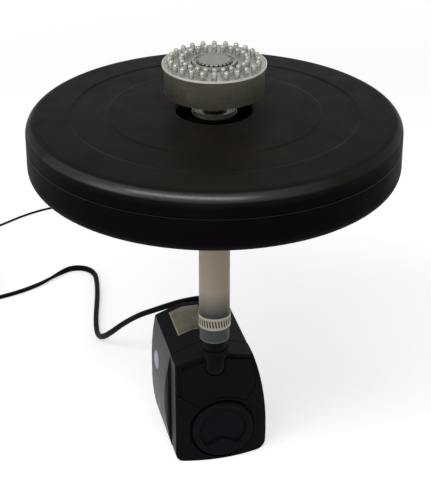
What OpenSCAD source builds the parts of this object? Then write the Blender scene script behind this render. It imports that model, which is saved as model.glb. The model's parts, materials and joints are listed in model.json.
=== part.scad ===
// Floating pond fountain with a ring light, shown standing on its pump.
// Millimetres, +Z up, -Y is the pump's front. The origin is on the riser's axis,
// on the surface that the pump stands on.

/* [Float] */
// Height of the float's middle above the surface
float_mid_z = 373; // [365:1:400]
// Radius of the float
float_r = 184; // [176:1:192]
// Height of the float's upper edge above its middle
rim_h = 30.3; // [28:0.1:33]
// Depth of the float's flat underside below its middle
low_h = 30.3; // [28:0.1:33]
// Rounding of the float's upper edge
top_round = 12.5; // [9:0.5:15]
// Rounding of the float's lower edge
low_round = 15; // [10:0.5:18]
// Rise of the float's crown from its edge to its centre
crown_h = 5.2; // [4.5:0.1:6.5]
// Wall of the float's shells
float_wall = 2.6; // [2:0.1:3.2]
// Outer radius of the shallow ring groove
groove_out_r = 142; // [135:1:150]
// Inner radius of the shallow ring groove
groove_in_r = 103; // [95:1:110]
// Depth of the shallow ring groove
groove_depth = 0.8; // [0.5:0.1:1.2]
// Radius of the central recess
recess_r = 37; // [36:0.5:40]
// Height of the recess floor above the float's middle
recess_floor_h = 20; // [17:0.5:22]
// Radius of the central boss
boss_r = 19; // [17:0.5:20]
// Height of the central boss above the float's middle
boss_top_h = 31.4; // [30:0.1:33]
// Height of the float's parting line above its middle
parting_h = 7; // [0:0.5:10]

/* [Light] */
// Clear stem between the collar and the light
neck_h = 17; // [16:0.1:24]
// Outer radius of the light's housing
light_r = 48.5; // [48:0.1:50]
// Height of the light's housing
light_h = 27.5; // [24:0.5:30]
// Radius of the overhanging face plate
face_r = 50.5; // [50.2:0.1:52]
// Radius of the light's central well
well_r = 22.5; // [22:0.1:23.5]
// Wall of the light's housing
light_wall = 2; // [1.5:0.1:2.4]
// Thickness of the face plate
face_t = 1.2; // [1:0.1:1.6]
// Radius of each domed lens
lens_r = 2.5; // [2.2:0.1:2.7]
// Height of the lenses above the face plate
lens_proud = 6.8; // [6:0.1:8.5]
// Radius of the outer row of lenses
outer_row_r = 42.8; // [42:0.1:43.5]
// Radius of the inner row of lenses
inner_row_r = 32; // [30.5:0.1:33.5]
// Lenses in each row
row_count = 24; // [20:1:26]

/* [Nozzle] */
// Outer radius of the nozzle's ring
nozzle_r = 21.5; // [21:0.1:21.8]
// Height of the nozzle's ring above the face plate
nozzle_proud = 2.5; // [2:0.1:4]
// Radius of the slotted cap
cap_r = 17.5; // [16.5:0.1:18.2]
// Height of the cap above the nozzle's ring
cap_proud = 1; // [0.5:0.1:1.5]
// Slots round the cap
jet_count = 24; // [18:1:28]
// Width of each slot
jet_w = 1.6; // [1.2:0.1:2]
// Depth of each slot from the cap's rim
jet_depth = 2.5; // [2:0.1:3]

/* [Riser] */
// Outer radius of the metal stem
stem_r = 8; // [7.5:0.1:8.5]
// Bore radius of the metal stem
stem_bore_r = 6; // [5:0.1:6.5]
// Radius of the dished collar
collar_r = 22; // [20:0.5:24]
// Height of the dished collar
collar_h = 4.7; // [4:0.1:6]
// Outer radius of the hose
hose_r = 16; // [15.5:0.1:16.4]
// Bore radius of the hose
hose_bore_r = 12.8; // [12.7:0.1:13]
// Width of each clamp's band
band_w = 14; // [11:0.5:15]
// Thickness of each clamp's band
band_t = 0.8; // [0.6:0.1:1]
// Slots round each clamp's band
band_slots = 34; // [26:1:36]
// Height of the lower clamp's middle above the hose's lower end
clamp_up = 23; // [20:0.5:26]

/* [Outlet] */
// Outer radius of the outlet spigot
spigot_r = 12.4; // [12.2:0.1:12.4]
// Bore radius of the outlet
spigot_bore_r = 9.2; // [8.5:0.1:9.6]
// Length of spigot inside the hose
spigot_in_h = 38; // [34:1:42]
// Clear spigot between its nut and the hose
spigot_clear_h = 12.4; // [10:0.1:16]
// Outer radius of the union nut
union_r = 14.3; // [14.1:0.1:15]
// Height of the union nut
union_h = 7.1; // [6.5:0.1:8]

/* [Pump] */
// Height of the pump's roof
roof_z = 132.5; // [131:0.5:135]
// Left flat side of the front housing, from the riser's axis
side_left = 42.5; // [42:0.5:44]
// Widest point of the front housing on the right
side_right = 59; // [58:0.5:61]
// Widest point of the motor casing on the left
case_left = 48.5; // [47.5:0.5:50]
// Widest point of the motor casing on the right
case_right = 56; // [55.5:0.5:57]
// Distance of the joint line behind the riser's axis
joint_y = 24; // [22.5:0.5:26]
// Distance of the pump's rear face behind the riser's axis
rear_y = 112; // [108:1:120]
// Foremost line of the front, ahead of the riser's axis
nose_y = 5; // [4:0.1:5.5]
// Radius of the front's curve
nose_r = 160; // [150:1:180]
// Wall of both pump mouldings
pump_wall = 3; // [2.5:0.1:3.2]
// Radius of the outlet pipe on the front
pipe_r = 11; // [10.8:0.1:12]
// Height of the outlet pipe's lower end
pipe_low_z = 105.8; // [104:0.1:110]

/* [Dial and strainer] */
// Distance of the rotor's axis right of the riser's axis
rotor_x = 8; // [6.5:0.5:9.5]
// Height of the rotor's axis
rotor_z = 38; // [37.5:0.5:40]
// Radius of the round opening in the front
inlet_r = 36.3; // [35.5:0.1:36.5]
// Radius of the dial
dial_r = 33; // [32:0.1:34.6]
// Radius of the dial's inner recess
dial_recess_r = 25.8; // [24:0.1:27]
// Depth of the dial's inner recess
dial_recess_depth = 3.5; // [2.5:0.1:5]
// Thickness of the dial
dial_t = 10.5; // [9.5:0.1:11]
// Intake slots round the strainer
slot_count = 24; // [16:1:28]

/* [Rotor and motor] */
// Radius of the impeller
impeller_r = 24; // [22:0.5:25.5]
// Blades on the impeller
blade_count = 6; // [5:1:8]
// Radius of the rotor's magnet
magnet_r = 12; // [11:0.1:12.3]
// Length of the rotor's magnet
magnet_len = 42; // [36:1:43]
// Radius of the ceramic shaft
shaft_r = 1.5; // [1.3:0.1:1.8]
// Thickness of the stator's iron, front to back
core_len = 32; // [28:1:34]
// Half width of the stator's iron
core_half_w = 26; // [25:0.5:27]

/* [Mains lead] */
// Width of the flat lead
lead_w = 7.2; // [6.8:0.1:7.4]
// Thickness of the flat lead
lead_t = 4; // [3.6:0.1:4.2]
// Turns in each layer of the stored mains lead
lead_turns = 6.625; // [5.625:1:7.625]
// Step between the turns of the stored mains lead
lead_step = 4.6; // [4.5:0.1:4.8]
// Radius of the innermost turn of the stored mains lead
lead_inner_r = 30; // [29:0.5:32]
// Length of the plug's body
plug_len = 36; // [34:0.5:40]
// Half width of the plug's body
plug_half_w = 17.6; // [16:0.1:18]
// Thickness of the plug's body
plug_t = 13.7; // [12:0.1:14]
// Length of the plug's pins
pin_len = 19; // [18:0.5:20]
// Radius of the plug's pins
pin_r = 2; // [1.9:0.05:2.4]

/* [Light lead] */
// Radius of the thin round lead
thin_r = 1.5; // [1.4:0.05:1.6]
// Turns in each layer of the stored thin lead
thin_turns = 5.625; // [4.625:1:6.625]
// Step between the turns of the stored thin lead
thin_step = 3.6; // [3.5:0.1:3.8]
// Radius of the innermost turn of the stored thin lead
thin_inner_r = 9; // [8.5:0.5:10]
// Distance of the thin lead from the riser's axis, where it goes through the float
thin_axis_r = 30; // [28.5:0.5:30.5]
// Radius of the connector
connector_r = 5.5; // [5:0.1:6.5]
// Length of the connector
connector_len = 32; // [28:1:36]

/* [Hidden] */
$fn = 96;

// One overrun for every cut, and the clearances of the fits
over = 1;
fit = 0.05;
loose_fit = 0.15;
slip = 0.3;

// Heights of the float's stack, from its middle up
boss_top_z = float_mid_z + boss_top_h;
gasket_t = 1;
collar_z = boss_top_z + gasket_t;
collar_top_z = collar_z + collar_h;
light_z = collar_top_z + neck_h;
light_top_z = light_z + light_h;
face_top_z = light_top_z + face_t + slip;
light_nut_h = 5;
light_nut_r = 12;

// Heights of the float's stack, from its underside down
float_low_z = float_mid_z - low_h;
parting_z = float_mid_z + parting_h;
washer_t = 1.5;
washer_r = 24;
float_nut_h = 8;
float_nut_r = 22;
tail_top_z = float_low_z - washer_t - float_nut_h;
tail_head_h = 6;
tail_head_r = 18.5;
tail_in_h = 30;
hose_top_z = tail_top_z - tail_head_h;
tail_socket_h = 15;

// Heights of the outlet's stack, from the roof up
union_seal_t = 1;
union_lip_t = 1.2;
union_flange_t = 1.5;
neck_r = union_r - union_lip_t;
neck_top_z = roof_z + union_h - union_lip_t - union_flange_t - union_seal_t - fit;
flange_z = neck_top_z + union_seal_t;
flange_r = neck_r - fit;
union_top_z = roof_z + union_h;
hose_z = union_top_z + spigot_clear_h;
hose_end_r = hose_r - 0.7 * band_t;
hose_end_h = clamp_up - band_w / 2;
barb_count = 3;
barb_h = 7;
barb_out = hose_bore_r - fit;

// The lens row starts toward the side that the light is seen from
row_angle = -103;

// Depths along the pump, front to back
strainer_t = 3;
dial_gap = 0.5;
dial_proud = 2;
dial_front_y = -nose_y - dial_proud;
dial_back_y = dial_front_y + dial_t;
strainer_y = dial_back_y + dial_gap;
inlet_room_y = strainer_y + strainer_t;
inlet_room_len = 3.5;
cover_y = inlet_room_y + inlet_room_len;
cover_t = 2.5;
chamber_y = cover_y + cover_t;
chamber_len = 17.5;
chamber_wall = 2.5;
chamber_r = impeller_r + 1.2 * chamber_wall;
chamber_back_y = chamber_y + chamber_len;
well_flange_y = chamber_back_y + chamber_wall;
well_flange_t = 2.5;
well_flange_r = 20;
rotor_gap = 0.9;
well_bore_r = magnet_r + rotor_gap;
well_wall = 1.3;
well_out_r = well_bore_r + well_wall;
magnet_y = well_flange_y + well_flange_t;
bush_r = 3.5;
bush_t = 3.5;
rear_bush_y = magnet_y + magnet_len + rotor_gap;
well_end_y = rear_bush_y + bush_t;
front_bush_y = cover_y - rotor_gap;
shaft_y = front_bush_y + rotor_gap;
shaft_len = rear_bush_y + bush_t / 2 - shaft_y;
core_y = magnet_y + (magnet_len - core_len) / 2;
coil_t = 7;
coil_low_z = rotor_z + well_out_r + coil_t;
coil_h = 28;
leg_w = core_half_w / 2 + fit;
yoke_h = 14;

// Outlet pipe and the duct that feeds it
duct_r = 9.5;
duct_y = chamber_y + duct_r + fit;
duct_bore_r = 7.5;
elbow_z = roof_z - duct_r - pump_wall;
elbow_r = 7.6;
elbow_bore_r = 6.2;
duct_top_z = roof_z - pump_wall - slip;

// Outline of the pump seen from the front: the shoulders and the roof
shoulder_left_share = 0.9132;
shoulder_right_share = 0.9321;
shoulder_left_z = shoulder_left_share * roof_z;
shoulder_right_z = shoulder_right_share * roof_z;
roof_half = 13;
corner_left = 8;
corner_right = 10;
front_bulge_z = 26;
front_bulge_r = 297;
case_bulge_z = 40;
case_bulge_r = 256;
case_left_bulge_z = 61.8;
case_left_bulge_r = 277;
case_corner = 10;
seal_t = 1;

function mirrored(points) = [for (i = [len(points) - 1 : -1 : 0]) [-points[i][0], points[i][1]]];

// One bulging side of an outline from its shoulder down to the underside, drawn inset
function bulged_side(widest, widest_z, bulge_r, corner, shoulder_z, inset) =
    let (cx = widest - bulge_r,
         corner_x = cx + sqrt(pow(bulge_r - corner, 2) - pow(corner - widest_z, 2)),
         top = asin((shoulder_z - inset - widest_z) / (bulge_r - inset)),
         low = atan2(corner - widest_z, corner_x - cx))
    concat(
        [for (k = [0 : 8]) let (a = top + (low - top) * k / 8)
            [cx + (bulge_r - inset) * cos(a), widest_z + (bulge_r - inset) * sin(a)]],
        [for (k = [1 : 8]) let (a = low - (90 + low) * k / 8)
            [corner_x + (corner - inset) * cos(a), corner + (corner - inset) * sin(a)]]);

// One flat side of an outline, drawn inset
function flat_side(x, corner, shoulder_z, inset) =
    concat([[x - inset, shoulder_z - inset]],
        [for (k = [0 : 8]) let (a = -90 * k / 8)
            [x - corner + (corner - inset) * cos(a), corner + (corner - inset) * sin(a)]]);

function outline(left_side, right_side, inset) = concat(
    mirrored(left_side), [[-roof_half, roof_z - inset], [roof_half, roof_z - inset]], right_side);

function front_right(inset) = bulged_side(side_right, front_bulge_z, front_bulge_r,
    corner_right, shoulder_right_z, inset);
function case_right_side(inset) = bulged_side(case_right, case_bulge_z, case_bulge_r,
    corner_right, shoulder_right_z, inset);
function case_left_side(inset) = bulged_side(case_left, case_left_bulge_z, case_left_bulge_r,
    corner_left, shoulder_left_z, inset);
function front_left(inset) = flat_side(side_left, corner_left, shoulder_left_z, inset);

function front_outline(inset) = outline(front_left(inset), front_right(inset), inset);
function case_outline(inset) = outline(case_left_side(inset), case_right_side(inset), inset);
function inner_outline(inset) = outline(front_left(inset), case_right_side(inset), inset);

// Height of the float's crown above its edge, at a radius
flat_r = float_r - top_round;
function crown(r) = crown_h * (1 - pow(r / flat_r, 2));
function crown_line(from_r, to_r, drop) = [for (k = [0 : 6])
    let (r = from_r + (to_r - from_r) * k / 6) [r, rim_h + crown(r) - drop]];

// Turns a profile drawn as radius and height about the riser's axis
module spun(z = 0) {
    translate([0, 0, z]) rotate_extrude() children();
}

// Extrudes a front view from one distance behind the riser's axis to another
module along_y(from_y, to_y) {
    translate([0, to_y, 0]) rotate([90, 0, 0]) linear_extrude(height = to_y - from_y) children();
}

// A rectangle of a turned profile, from its inner and outer radius and its heights
module band(in_r, out_r, low, high) {
    translate([in_r, low]) square([out_r - in_r, high - low]);
}

// A round bar or bore along the pump, on the rotor's axis
module rotor_rod(r, from_y, to_y) {
    translate([rotor_x, to_y, rotor_z]) rotate([90, 0, 0]) cylinder(r = r, h = to_y - from_y);
}

module tube(in_r, out_r, low, high) {
    translate([0, 0, low]) difference() {
        cylinder(r = out_r, h = high - low);
        translate([0, 0, -over]) cylinder(r = in_r, h = high - low + 2 * over);
    }
}

module hex_nut(corner_r, bore_r, low, high) {
    translate([0, 0, low]) difference() {
        cylinder(r = corner_r, h = high - low, $fn = 6);
        translate([0, 0, -over]) cylinder(r = bore_r, h = high - low + 2 * over);
    }
}

// Places what is drawn at the thin lead's place beside the riser
thin_angle = 77;
module at_thin_lead() {
    rotate([0, 0, thin_angle]) translate([thin_axis_r, 0, 0]) children();
}

// Nozzle

ring_lip = 1.5;
ring_step = 1.2;
chamber_gap = 0.1;
nozzle_floor_t = 6;
nozzle_top_z = face_top_z + nozzle_proud;
cap_t = 2.2;
cap_z = nozzle_top_z + cap_proud - cap_t;
spider_h = 5;
spider_t = 2;
hub_r = 4;
pin_boss_r = 2;

module nozzle_body() {
    bottom = light_z + light_wall;
    bore_r = cap_r + chamber_gap;
    chamber_low = bottom + nozzle_floor_t;
    color("dimgray") {
        spun() difference() {
            band(stem_bore_r, nozzle_r, bottom, nozzle_top_z);
            band(0, stem_r + fit, bottom - over, chamber_low - light_wall);
            band(0, bore_r, chamber_low, nozzle_top_z + over);
            band(0, nozzle_r - ring_lip, nozzle_top_z - ring_step, nozzle_top_z + over);
        }
        difference() {
            union() {
                translate([0, 0, cap_z - spider_h]) cylinder(r = hub_r, h = spider_h);
                for (a = [45, 135]) rotate([0, 0, a])
                    translate([-bore_r - chamber_gap, -spider_t / 2, cap_z - spider_h])
                        cube([2 * bore_r + 2 * chamber_gap, spider_t, spider_h - chamber_gap]);
            }
            translate([0, 0, cap_z - spider_h - over])
                cylinder(r = pin_boss_r + fit, h = spider_h + 2 * over);
        }
    }
}

module nozzle_cap() {
    bevel = cap_t / 4;
    color("dimgray") difference() {
        spun(cap_z) {
            polygon([[0, 0], [cap_r, 0], [cap_r, cap_t - bevel], [cap_r - bevel, cap_t], [0, cap_t]]);
            band(0, pin_boss_r, -spider_h, 0);
        }
        for (i = [0 : jet_count - 1]) rotate([0, 0, i * 360 / jet_count])
            translate([cap_r - jet_depth, -jet_w / 2, cap_z - over])
                cube([jet_depth + over, jet_w, cap_t + 2 * over]);
    }
}

// Ring light

board_t = 1.6;
lens_flange_t = 1;
lens_flange_r = lens_r + 0.4 * lens_flange_t;
board_top_z = light_top_z - lens_flange_t + slip;

module lens() {
    straight_h = lens_flange_t + face_t + lens_proud - lens_r;
    rotate_extrude() {
        band(0, lens_flange_r, 0, lens_flange_t);
        band(0, lens_r, 0, straight_h);
        intersection() {
            translate([0, straight_h]) circle(r = lens_r);
            band(0, lens_r, straight_h, straight_h + lens_r);
        }
    }
}

module lens_row(row_r) {
    for (i = [0 : row_count - 1]) rotate([0, 0, row_angle + i * 360 / row_count])
        translate([row_r, 0, board_top_z]) lens();
}

module led_lenses_outer() {
    color("white") lens_row(outer_row_r);
}

module led_lenses_inner() {
    color("white") lens_row(inner_row_r);
}

module led_face_plate() {
    rim_h = 2;
    color("silver") difference() {
        spun() {
            band(well_r, face_r, face_top_z - face_t, face_top_z);
            band(light_r + loose_fit, face_r, face_top_z - rim_h, face_top_z);
        }
        for (row_r = [outer_row_r, inner_row_r], i = [0 : row_count - 1])
            rotate([0, 0, row_angle + i * 360 / row_count])
                translate([row_r, 0, face_top_z - face_t - over])
                    cylinder(r = lens_r + loose_fit, h = face_t + 2 * over);
    }
}

module led_board() {
    color("green") tube(well_r + light_wall + loose_fit, light_r - light_wall - loose_fit,
        board_top_z - board_t, board_top_z);
}

module led_potting() {
    color("black") tube(well_r + light_wall + fit, light_r - light_wall - fit,
        light_z + light_wall, board_top_z - board_t);
}

gland_r = 4.5;
gland_h = 10;
gland_head_h = 4;
gland_stub_r = 2.5;

module led_housing() {
    color("dimgray") difference() {
        spun() difference() {
            band(stem_r + fit, light_r, light_z, light_top_z);
            band(well_r + light_wall, light_r - light_wall, light_z + light_wall, light_top_z + over);
            band(0, well_r, light_z + light_wall, light_top_z + over);
        }
        at_thin_lead() translate([0, 0, light_z - over])
            cylinder(r = gland_stub_r + fit, h = light_wall + over + fit);
    }
}

module light_lock_nut() {
    color("silver") hex_nut(light_nut_r, stem_r + fit, light_z - light_nut_h, light_z);
}

module led_gland() {
    color("black") at_thin_lead() spun(light_z) polygon([
        [0, light_wall], [gland_stub_r, light_wall], [gland_stub_r, 0], [gland_r, 0],
        [gland_r, -gland_head_h], [gland_stub_r, -gland_h], [0, -gland_h]]);
}

// Stem, collar and float

module riser_pipe() {
    color("silver") tube(stem_bore_r, stem_r, tail_top_z - tail_socket_h,
        light_z + nozzle_floor_t);
}

module clamp_collar() {
    rim_t = 1.5;
    dish = 1.8;
    slot = 0.5;
    hub = stem_r + 2 * rim_t;
    color("silver") spun(collar_z) difference() {
        band(stem_r + fit, collar_r, 0, collar_h);
        polygon([[collar_r - rim_t, collar_h + over], [collar_r - rim_t, collar_h],
            [hub + rim_t, collar_h - dish], [hub, collar_h], [hub, collar_h + over]]);
        band(collar_r - slot, collar_r + over, rim_t, collar_h - rim_t);
    }
}

module collar_gasket() {
    color("black") tube(stem_r + slip, boss_r - gasket_t, boss_top_z, collar_z);
}

hub_wall = 4;
lip_round = 3;
parting = 0.5;
tongue_h = 4;
groove_edge = 3;
conduit_r = 6;
conduit_bore_r = 4.5;

// Area under the float's upper skin, drawn inset, with the ring groove on its top if asked
module crown_area(inset) {
    polygon(concat([[0, rim_h + crown(0) - inset]],
        crown_line(recess_r, groove_in_r, inset),
        crown_line(groove_in_r + groove_edge, groove_out_r - groove_edge, inset + groove_depth),
        crown_line(groove_out_r, flat_r, inset),
        [[flat_r, rim_h - top_round], [float_r - inset, rim_h - top_round],
            [float_r - inset, parting_h], [0, parting_h]]));
    intersection() {
        translate([flat_r, rim_h - top_round]) circle(r = top_round - inset);
        band(flat_r, float_r, rim_h - top_round, rim_h);
    }
}

module float_upper() {
    lip_r = recess_r + lip_round;
    lip_z = rim_h + crown(lip_r);
    color("black") difference() {
        union() {
            spun(float_mid_z) difference() {
                crown_area(0);
                difference() {
                    crown_area(float_wall);
                    band(0, recess_r + float_wall, recess_floor_h - float_wall, rim_h + crown_h);
                    band(0, stem_r + hub_wall, parting_h, rim_h);
                }
                band(0, stem_r + slip, parting_h - over, rim_h + crown_h);
                band(boss_r, recess_r, recess_floor_h, rim_h + crown_h + over);
                band(0, recess_r, boss_top_h, rim_h + crown_h + over);
                difference() {
                    band(recess_r - over, lip_r, lip_z - lip_round, rim_h + crown_h);
                    translate([lip_r, lip_z - lip_round]) circle(r = lip_round);
                }
                band(float_r - parting, float_r + over, parting_h - over, parting_h + parting);
                band(0, float_r - float_wall / 2 + fit, parting_h - over, parting_h + tongue_h + fit);
            }
            tube(stem_r + slip, stem_r + hub_wall, parting_z, parting_z + tongue_h + over);
            at_thin_lead() translate([0, 0, parting_z])
                cylinder(r = conduit_r, h = recess_floor_h - parting_h - float_wall / 2);
        }
        at_thin_lead() translate([0, 0, parting_z - over])
            cylinder(r = conduit_bore_r, h = recess_floor_h - parting_h + 2 * over);
    }
}

// Area above the float's lower skin, drawn inset
module keel_area(inset) {
    low_flat_r = float_r - low_round;
    polygon([[0, parting_h], [float_r - inset, parting_h], [float_r - inset, low_round - low_h],
        [low_flat_r, low_round - low_h], [low_flat_r, inset - low_h], [0, inset - low_h]]);
    intersection() {
        translate([low_flat_r, low_round - low_h]) circle(r = low_round - inset);
        band(low_flat_r, float_r, -low_h, low_round - low_h);
    }
}

module float_lower() {
    color("black") difference() {
        union() {
            spun(float_mid_z) {
                difference() {
                    keel_area(0);
                    difference() {
                        keel_area(float_wall);
                        band(0, stem_r + hub_wall, -low_h, parting_h);
                    }
                    band(0, stem_r + slip, -low_h - over, parting_h + over);
                    band(float_r - parting, float_r + over, parting_h - parting, parting_h + over);
                }
                band(float_r - float_wall, float_r - float_wall / 2 - fit,
                    parting_h - tongue_h, parting_h + tongue_h);
            }
            at_thin_lead() translate([0, 0, float_low_z + float_wall / 2])
                cylinder(r = conduit_r, h = low_h + parting_h - float_wall / 2);
        }
        at_thin_lead() translate([0, 0, float_low_z - over])
            cylinder(r = conduit_bore_r, h = low_h + parting_h + 2 * over);
    }
}

module cable_grommet() {
    flange_t = 1.5;
    color("black") at_thin_lead() spun(float_mid_z + recess_floor_h) difference() {
        union() {
            band(thin_r + fit, conduit_bore_r + flange_t, 0, flange_t);
            band(thin_r + fit, conduit_bore_r - fit, -2 * conduit_r, flange_t);
        }
    }
}

module float_washer() {
    color("black") tube(stem_r + slip, washer_r, float_low_z - washer_t, float_low_z);
}

module float_lock_nut() {
    color("dimgray") hex_nut(float_nut_r, stem_r + fit, tail_top_z, float_low_z - washer_t);
}

// Barbs of a tail or spigot that points up from a height, or down when up is -1
module barbs(root_r, start, up) {
    for (k = [0 : barb_count - 1]) polygon([
        [root_r - over, start + up * k * barb_h],
        [barb_out, start + up * k * barb_h],
        [root_r, start + up * (k + 1) * barb_h],
        [root_r - over, start + up * (k + 1) * barb_h]]);
}

tail_root_r = hose_bore_r - 0.5 * band_t;

module hose_tail() {
    bore = tail_root_r - 3 * band_t;
    color("dimgray") difference() {
        union() {
            hex_nut(tail_head_r, bore, hose_top_z, tail_top_z);
            spun() {
                band(bore, tail_root_r, hose_top_z - tail_in_h, hose_top_z + over);
                barbs(tail_root_r, hose_top_z - tail_in_h + 3 * barb_h, -1);
            }
            tube(stem_r + fit, bore + over, tail_top_z - tail_socket_h, tail_top_z);
        }
    }
}

module riser_hose() {
    color("lightgray") spun(hose_z) polygon([
        [hose_bore_r, 0], [hose_end_r, 0], [hose_end_r, hose_end_h - band_t],
        [hose_r, hose_end_h + band_t], [hose_r, hose_top_z - hose_z],
        [hose_bore_r, hose_top_z - hose_z]]);
}

// Worm clamps

band_in_r = hose_r + fit;
band_out_r = band_in_r + band_t;
tail_out_r = band_out_r + band_t;
worm_r = 2.7;
worm_len = 13;
worm_x = tail_out_r + 0.3 * band_t + worm_r;
saddle_wall = 1;
saddle_w = 2 * worm_r + 5 * saddle_wall;
head_r = 4.2;
head_h = 3.6;
lower_clamp_z = hose_z + clamp_up;
upper_clamp_z = hose_top_z - clamp_up + band_t;
lower_clamp_angle = 77;
upper_clamp_angle = 200;

module at_clamp(z, angle) {
    translate([0, 0, z]) rotate([0, 0, angle]) children();
}

// A strip with slots, with its end lapped outside under the screw
module clamp_band() {
    slot_w = 1.1 * band_t;
    slot_h = 8.5 * band_t;
    lap_half = 32;
    difference() {
        translate([0, 0, -band_w / 2]) linear_extrude(height = band_w) difference() {
            union() {
                circle(r = band_out_r);
                intersection() {
                    circle(r = tail_out_r);
                    polygon([[0, 0], [2 * tail_out_r, -2 * tail_out_r * tan(lap_half)],
                        [2 * tail_out_r, 2 * tail_out_r * tan(lap_half)]]);
                }
            }
            circle(r = band_in_r);
        }
        for (i = [0 : band_slots - 1]) rotate([0, 0, (i + 0.5) * 360 / band_slots])
            translate([band_in_r + band_t, 0, 0]) rotate([8, 0, 0])
                cube([4 * band_t, slot_w, slot_h], center = true);
    }
}

module clamp_housing() {
    difference() {
        union() {
            translate([worm_x, worm_len / 2, 0]) rotate([90, 0, 0])
                cylinder(r = worm_r + saddle_wall, h = worm_len);
            translate([band_out_r - worm_r, -worm_len / 2, -saddle_w / 2])
                cube([worm_x - band_out_r + worm_r, worm_len, saddle_w]);
        }
        translate([worm_x, worm_len, 0]) rotate([90, 0, 0])
            cylinder(r = worm_r + fit, h = 2 * worm_len);
        cylinder(r = tail_out_r + fit, h = band_w, center = true);
    }
}

module clamp_screw() {
    slot = 1;
    translate([worm_x, 0, 0]) rotate([90, 0, 0]) difference() {
        union() {
            translate([0, 0, -worm_len / 2]) cylinder(r = worm_r, h = worm_len + slip);
            translate([0, 0, worm_len / 2 + slip]) cylinder(r = head_r, h = head_h, $fn = 6);
        }
        translate([-head_r, -slot / 2, worm_len / 2 + slip + head_h - slot])
            cube([2 * head_r, slot, slot + over]);
    }
}

module upper_clamp_band() {
    color("silver") at_clamp(upper_clamp_z, upper_clamp_angle) clamp_band();
}

module upper_clamp_housing() {
    color("silver") at_clamp(upper_clamp_z, upper_clamp_angle) clamp_housing();
}

module upper_clamp_screw() {
    color("silver") at_clamp(upper_clamp_z, upper_clamp_angle) clamp_screw();
}

module lower_clamp_band() {
    color("silver") at_clamp(lower_clamp_z, lower_clamp_angle) clamp_band();
}

module lower_clamp_housing() {
    color("silver") at_clamp(lower_clamp_z, lower_clamp_angle) clamp_housing();
}

module lower_clamp_screw() {
    color("silver") at_clamp(lower_clamp_z, lower_clamp_angle) clamp_screw();
}

// Outlet

module outlet_spigot() {
    color("black") spun() {
        band(spigot_bore_r, flange_r, flange_z, flange_z + union_flange_t);
        band(spigot_bore_r, spigot_r, flange_z, hose_z + spigot_in_h);
        barbs(spigot_r, hose_z + spigot_in_h - 3 * barb_h, 1);
    }
}

module spigot_nut() {
    ribs = 16;
    rib_w = 2;
    rib_t = 0.5;
    color("black") {
        spun() difference() {
            band(spigot_r + fit, union_r - rib_t, roof_z + fit, union_top_z);
            band(0, neck_r + fit, roof_z - over, union_top_z - union_lip_t);
        }
        for (i = [0 : ribs - 1]) rotate([0, 0, i * 360 / ribs])
            translate([union_r - 2 * rib_t, -rib_w / 2, roof_z + fit])
                cube([2 * rib_t, rib_w, union_h - 2 * fit]);
    }
}

module spigot_seal() {
    color("black") tube(spigot_bore_r, neck_r - union_seal_t, neck_top_z, flange_z);
}

// Pump mouldings

panel_left = 39.8;
panel_right = 46.5;
panel_low_z = 82.4;
panel_foot_z = 64;
panel_foot_left = 11.5;
panel_foot_right = 31.5;
panel_inset = 2.7;
panel_groove = 0.9;
panel_shift = 3.5;
panel_t = 2;

// Six-sided outline of the front panel, drawn inset
module panel_field(inset) {
    intersection() {
        polygon([[-panel_left + inset, panel_low_z + inset / 2],
            [-panel_left + inset, roof_z], [panel_right - inset, roof_z],
            [panel_right - inset, panel_low_z + inset / 2],
            [panel_foot_right, panel_foot_z + inset], [-panel_foot_left, panel_foot_z + inset]]);
        polygon(front_outline(panel_inset + inset));
    }
}

module panel_area(inset) {
    difference() {
        panel_field(inset);
        translate([rotor_x, rotor_z]) circle(r = inlet_r + panel_inset + inset);
    }
}

// The space in front of the front's curve moved back by a depth
module nose_space(depth) {
    difference() {
        translate([-2 * nose_r, -2 * nose_r, 0]) cube([4 * nose_r, 3 * nose_r, 2 * roof_z]);
        translate([0, nose_r - nose_y + depth, -over])
            cylinder(r = nose_r, h = 2 * roof_z + 2 * over);
    }
}

module pipe_boss() {
    translate([0, 0, pipe_low_z + pipe_r]) cylinder(r = pipe_r, h = roof_z - pipe_low_z - pipe_r);
    translate([0, 0, pipe_low_z + pipe_r]) sphere(r = pipe_r);
}

hub_bore_r = 5;
slot_w = 2.4;
slot_in_r = 22;
slot_len = 6.5;

module front_housing() {
    block_low_z = elbow_z - duct_r - pump_wall;
    color("black") difference() {
        union() {
            difference() {
                intersection() {
                    along_y(-nose_y - over, joint_y) polygon(front_outline(0));
                    translate([0, nose_r - nose_y, 0]) cylinder(r = nose_r, h = roof_z + over);
                }
                along_y(inlet_room_y, joint_y + over) polygon(inner_outline(pump_wall));
                intersection() {
                    along_y(-nose_y - over, joint_y) panel_area(0);
                    nose_space(panel_t);
                }
            }
            pipe_boss();
            translate([-pipe_r, 0, block_low_z]) cube([2 * pipe_r, pipe_r, roof_z - block_low_z]);
            translate([0, 0, roof_z - pump_wall]) cylinder(r = neck_r, h = neck_top_z - roof_z + pump_wall);
            difference() {
                rotor_rod(chamber_r + 2 * chamber_wall, inlet_room_y - over, cover_y);
                rotor_rod(chamber_r + chamber_wall, inlet_room_y - 2 * over, cover_y + over);
            }
        }
        rotor_rod(inlet_r, -nose_y - 2 * over, strainer_y);
        rotor_rod(hub_bore_r + fit, strainer_y - over, inlet_room_y + over);
        translate([0, 0, elbow_z - elbow_r]) cylinder(r = spigot_bore_r, h = roof_z);
        translate([0, pipe_r + over, elbow_z]) rotate([90, 0, 0])
            cylinder(r = elbow_r + fit, h = pipe_r + over);
        for (i = [0 : slot_count - 1]) translate([rotor_x, 0, rotor_z])
            rotate([0, i * 360 / slot_count, 0])
                translate([-slot_w / 2, strainer_y - over, slot_in_r])
                    cube([slot_w, strainer_t + 2 * over, slot_len]);
    }
}

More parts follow.
